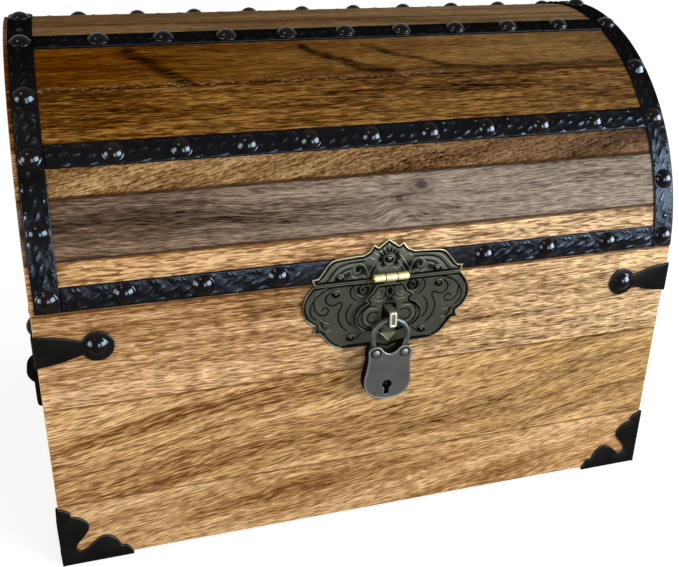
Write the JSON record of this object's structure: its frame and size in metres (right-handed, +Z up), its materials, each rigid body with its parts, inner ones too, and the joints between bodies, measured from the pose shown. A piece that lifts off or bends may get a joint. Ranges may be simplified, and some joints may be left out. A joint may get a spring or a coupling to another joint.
{
  "type": "treasure chest box",
  "caption": "Wooden keepsake chest with a domed stave lid, nailed iron straps, a hasp with a hanging flap, a small padlock and a drop handle on each end.",
  "frame": {"origin": "bottom centre of the closed chest's bounding box, on the surface that it stands on", "axes": "+X to the right along the front, +Y from the front to the back, +Z up"},
  "size_m": [0.3792, 0.272, 0.2753],
  "materials": {
    "body_wood": "clear-coated warm tan hardwood",
    "lid_wood": "clear-coated dark streaked hardwood",
    "black_iron": "satin black",
    "nail_metal": "polished dark bronze",
    "antique_bronze": "antique bronze with worn edges",
    "pale_steel": "worn bright",
    "pin_brass": "bright brass",
    "padlock_steel": "gunmetal",
    "screw_metal": "dark zinc",
    "hinge_steel": "antique steel",
    "handle_iron": "satin black"
  },
  "bodies": {
    "chest_body": {"front_board_lower": "body_wood", "front_board_middle": "body_wood", "front_board_upper": "body_wood", "back_panel": "body_wood", "left_end_panel": "body_wood", "right_end_panel": "body_wood", "base_board": "body_wood", "corner_iron_front_left": "black_iron", "corner_iron_front_right": "black_iron", "corner_iron_back_left": "black_iron", "corner_iron_back_right": "black_iron", "corner_brace_front_left": "black_iron", "corner_brace_front_right": "black_iron", "corner_brace_back_left": "black_iron", "corner_brace_back_right": "black_iron", "brace_nails": "nail_metal", "hasp_body_plate": "antique_bronze", "hasp_staple": "pale_steel", "hinge_body_leaf_left": "hinge_steel", "hinge_body_leaf_right": "hinge_steel", "hinge_pins": "hinge_steel", "handle_plate_left": "handle_iron", "handle_plate_right": "handle_iron", "body_screws": "screw_metal"},
    "lid": {"lid_stave_01": "lid_wood", "lid_stave_02": "lid_wood", "lid_stave_03": "lid_wood", "lid_stave_04": "lid_wood", "lid_stave_05": "lid_wood", "lid_stave_06": "lid_wood", "lid_stave_07": "lid_wood", "lid_stave_08": "lid_wood", "lid_stave_09": "lid_wood", "lid_stave_10": "lid_wood", "lid_stave_11": "lid_wood", "lid_stave_12": "lid_wood", "lid_end_left": "lid_wood", "lid_end_right": "lid_wood", "lid_band_left": "black_iron", "lid_band_right": "black_iron", "lid_strap_front_low": "black_iron", "lid_strap_front_middle": "black_iron", "lid_strap_front_high": "black_iron", "lid_strap_back_high": "black_iron", "lid_strap_back_middle": "black_iron", "lid_strap_back_low": "black_iron", "lid_nails": "nail_metal", "hasp_lid_plate": "antique_bronze", "hasp_pin": "pin_brass", "hinge_lid_leaf_left": "hinge_steel", "hinge_lid_leaf_right": "hinge_steel", "lid_screws": "screw_metal"},
    "hasp_flap": {"hasp_flap": "antique_bronze"},
    "padlock_shackle": {"padlock_shackle": "padlock_steel"},
    "padlock_case": {"padlock_case": "padlock_steel", "padlock_front_plate": "padlock_steel", "padlock_rivets": "padlock_steel", "padlock_latch": "padlock_steel"},
    "left_handle": {"handle_bail_left": "handle_iron"},
    "right_handle": {"handle_bail_right": "handle_iron"}
  },
  "joints": [
    {"name": "lid_hinge", "type": "hinge", "parent": "chest_body", "child": "lid", "pos_m": [0, 0.1334, 0.15145], "axis": [-1, 0, 0], "range_deg": [0, 105]},
    {"name": "padlock_lift_off", "type": "slide", "parent": "chest_body", "child": "padlock_shackle", "axis": [0, -1, 0], "range_m": [0, 0.15]},
    {"name": "padlock_shackle_hinge", "type": "hinge", "parent": "padlock_shackle", "child": "padlock_case", "pos_m": [-0.00592, -0.1321, 0.11187], "axis": [0, 1, 0], "range_deg": [0, 60]},
    {"name": "hasp_flap_hinge", "type": "hinge", "parent": "lid", "child": "hasp_flap", "pos_m": [0.0028, -0.1294, 0.154], "axis": [-1, 0, 0], "range_deg": [0, 150]},
    {"name": "left_handle_hinge", "type": "hinge", "parent": "chest_body", "child": "left_handle", "pos_m": [-0.1846, 0.0024, 0.0772], "axis": [0, 1, 0], "range_deg": [0, 100]},
    {"name": "right_handle_hinge", "type": "hinge", "parent": "chest_body", "child": "right_handle", "pos_m": [0.1846, 0.0024, 0.0772], "axis": [0, -1, 0], "range_deg": [0, 100]}
  ],
  "couplings": [
    {"joint": "hasp_flap_hinge", "follows": "padlock_lift_off", "rad_per_m": 17.453}
  ]
}
